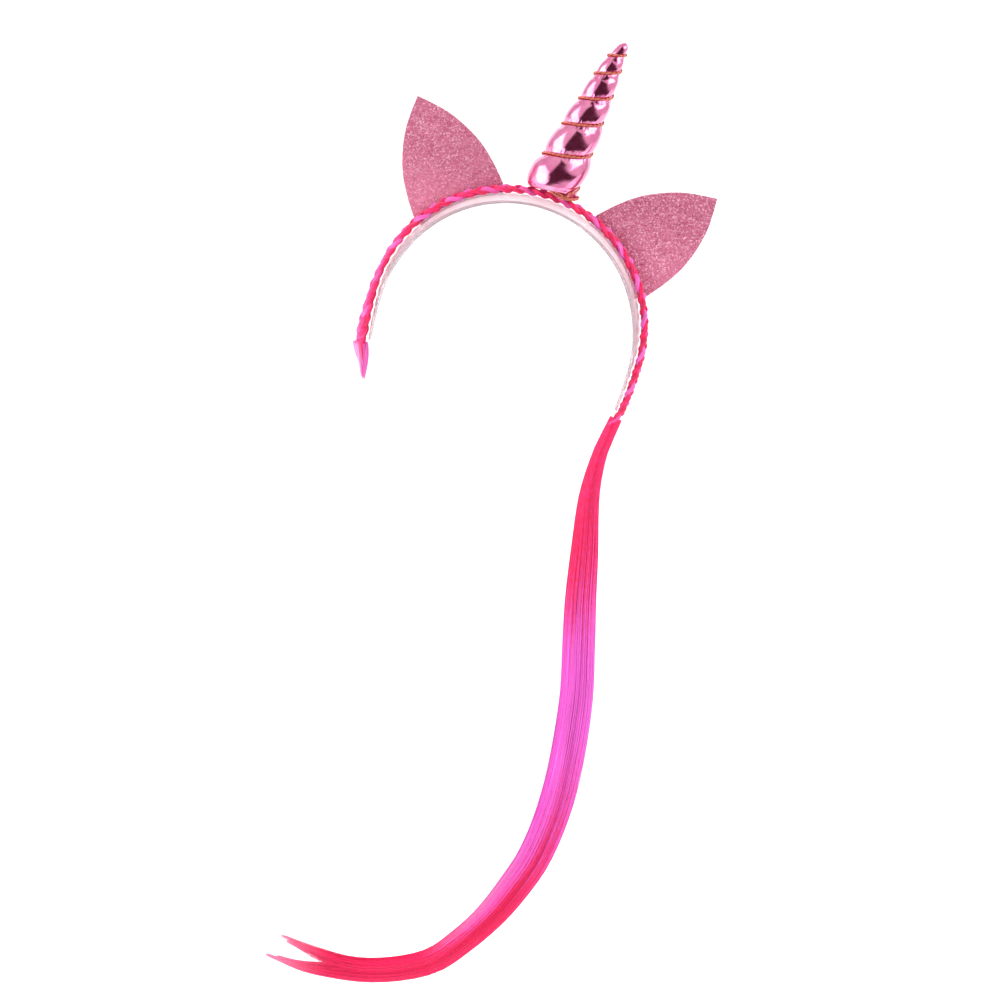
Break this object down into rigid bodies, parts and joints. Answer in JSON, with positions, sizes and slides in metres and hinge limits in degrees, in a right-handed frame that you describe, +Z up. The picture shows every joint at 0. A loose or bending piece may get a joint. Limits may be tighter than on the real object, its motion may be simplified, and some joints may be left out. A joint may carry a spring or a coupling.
{
  "type": "unicorn horn headband",
  "caption": "Clear hoop headband that carries a braid of bright pink hair, flat glitter ears, a stuffed spiral horn wound with gold cord, and a long loose tail of hair.",
  "frame": {"origin": "on the underside of the hoop at the crown, at the middle of its width: the point that rests on the top of a head", "axes": "+Z up through the crown, -Y towards the brow side, +X towards the wearer's left ear"},
  "size_m": [0.1868, 0.1133, 0.5174],
  "materials": {
    "clear_plastic": "clear, thin, glossy",
    "braid_hair": "synthetic hair in red-pink and orchid strands",
    "tail_hair": "straight synthetic hair, red-pink with orchid streaks",
    "ear_glitter": "rose glitter sheet on foam",
    "horn_fabric": "metallic foil fabric, mirror-like",
    "gold_cord": "twisted metallic thread"
  },
  "bodies": {
    "root": {"hoop": "clear_plastic", "braid": "braid_hair", "hair_tail": "tail_hair", "ear_left": "ear_glitter", "ear_right": "ear_glitter", "horn": "horn_fabric", "horn_cord": "gold_cord"}
  },
  "joints": []
}
